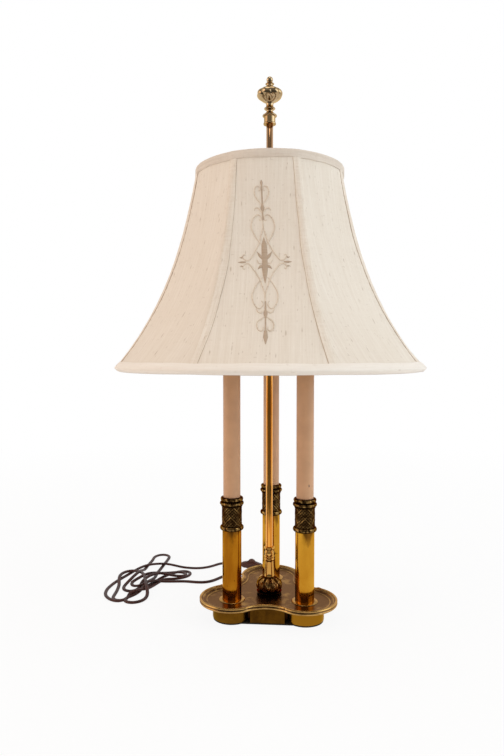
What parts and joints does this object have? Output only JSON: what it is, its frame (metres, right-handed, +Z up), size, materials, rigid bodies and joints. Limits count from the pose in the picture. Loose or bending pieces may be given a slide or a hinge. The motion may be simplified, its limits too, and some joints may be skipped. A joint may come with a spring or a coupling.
{
  "type": "bouillotte lamp",
  "caption": "Table lamp with a trefoil tray base, candle lights round a central rod, a bell shade that slides and turns on the rod, and a cord with an in-line switch.",
  "frame": {"origin": "on the table under the centre rod, at the felt pad's lower face", "axes": "+Z up along the centre rod; -Y to the front, midway between the two front candles; +X to the right-hand candle; the cord leaves the rear lobe towards +Y"},
  "size_m": [0.4435, 0.404, 0.708],
  "materials": {
    "felt": "wool felt",
    "brass_plinth": "aged satin",
    "iron": "rough cast",
    "brass_tray": "dark brown patina with brighter rim",
    "brass_bright": "polished, golden amber",
    "bushing_rubber": "matte",
    "connector_plastic": "matte",
    "steel": "zinc plated",
    "brass_antique": "antique, dark in the hollows",
    "candle_ivory": "satin ivory",
    "lead_wire": "insulated",
    "socket_black": "phenolic",
    "bulb_aluminium": "screw shell",
    "bulb_glass": "frosted",
    "wire_frame": "white enamel",
    "silk": "slubbed silk, cream",
    "trim_silk": "folded silk trim, cream",
    "cord_brown": "glossy brown two-wire cord",
    "switch_brown": "moulded brown",
    "switch_wheel_brown": "ribbed",
    "blade_brass": "bare"
  },
  "bodies": {
    "lamp": {"felt_pad": "felt", "base_plinth": "brass_plinth", "base_weight": "iron", "base_tray": "brass_tray", "candle_seats": "brass_bright", "cord_bushing": "bushing_rubber", "wire_connector": "connector_plastic", "tie_pipe": "steel", "tie_nut": "steel", "saucer": "brass_antique", "knop": "brass_antique", "column": "brass_bright", "rod": "brass_bright", "candle_nuts": "steel", "candle_tube_left": "brass_bright", "candle_tube_right": "brass_bright", "candle_tube_rear": "brass_bright", "candle_collar_left": "brass_antique", "candle_collar_right": "brass_antique", "candle_collar_rear": "brass_antique", "candle_sleeve_left": "candle_ivory", "candle_sleeve_right": "candle_ivory", "candle_sleeve_rear": "candle_ivory", "candle_pipe_left": "steel", "candle_pipe_right": "steel", "candle_pipe_rear": "steel", "lead_wires": "lead_wire", "socket_left": "socket_black", "socket_right": "socket_black", "socket_rear": "socket_black", "finial_cap": "brass_bright", "cord": "cord_brown", "cord_hank": "cord_brown", "switch_front": "switch_brown", "switch_back": "switch_brown", "plug_body": "switch_brown", "plug_blades": "blade_brass"},
    "shade_carrier": {"shade_slider": "brass_bright"},
    "clamp_screw": {"thumb_screw": "brass_bright"},
    "shade": {"shade_spider": "brass_bright", "shade_wires": "wire_frame", "shade_panels": "silk", "shade_top_trim": "trim_silk", "shade_bottom_trim": "trim_silk"},
    "finial_top": {"finial": "brass_antique"},
    "dimmer_wheel": {"switch_wheel": "switch_wheel_brown"},
    "bulb_left": {"bulb_cap_left": "bulb_aluminium", "bulb_glass_left": "bulb_glass"},
    "bulb_right": {"bulb_cap_right": "bulb_aluminium", "bulb_glass_right": "bulb_glass"},
    "bulb_rear": {"bulb_cap_rear": "bulb_aluminium", "bulb_glass_rear": "bulb_glass"}
  },
  "joints": [
    {"name": "shade_lift", "type": "slide", "parent": "lamp", "child": "shade_carrier", "axis": [0, 0, 1], "range_m": [-0.12, 0.06]},
    {"name": "shade_turn", "type": "hinge", "parent": "shade_carrier", "child": "shade", "pos_m": [0, 0, 0.569], "axis": [0, 0, 1], "continuous": true},
    {"name": "clamp_screw_turn", "type": "hinge", "parent": "shade_carrier", "child": "clamp_screw", "pos_m": [0, 0.01, 0.563], "axis": [0, 1, 0], "range_deg": [0, 180]},
    {"name": "finial_turn", "type": "hinge", "parent": "lamp", "child": "finial_top", "pos_m": [0, 0, 0.66], "axis": [0, 0, 1], "continuous": true},
    {"name": "dimmer_turn", "type": "hinge", "parent": "lamp", "child": "dimmer_wheel", "pos_m": [-0.036, 0.157, 0.008], "axis": [0.2419, 0.9703, 0], "continuous": true},
    {"name": "bulb_left_turn", "type": "hinge", "parent": "lamp", "child": "bulb_left", "pos_m": [-0.0475, -0.02742, 0.33], "axis": [0, 0, 1], "continuous": true},
    {"name": "bulb_right_turn", "type": "hinge", "parent": "lamp", "child": "bulb_right", "pos_m": [0.0475, -0.02742, 0.33], "axis": [0, 0, 1], "continuous": true},
    {"name": "bulb_rear_turn", "type": "hinge", "parent": "lamp", "child": "bulb_rear", "pos_m": [0, 0.05485, 0.33], "axis": [0, 0, 1], "continuous": true}
  ]
}
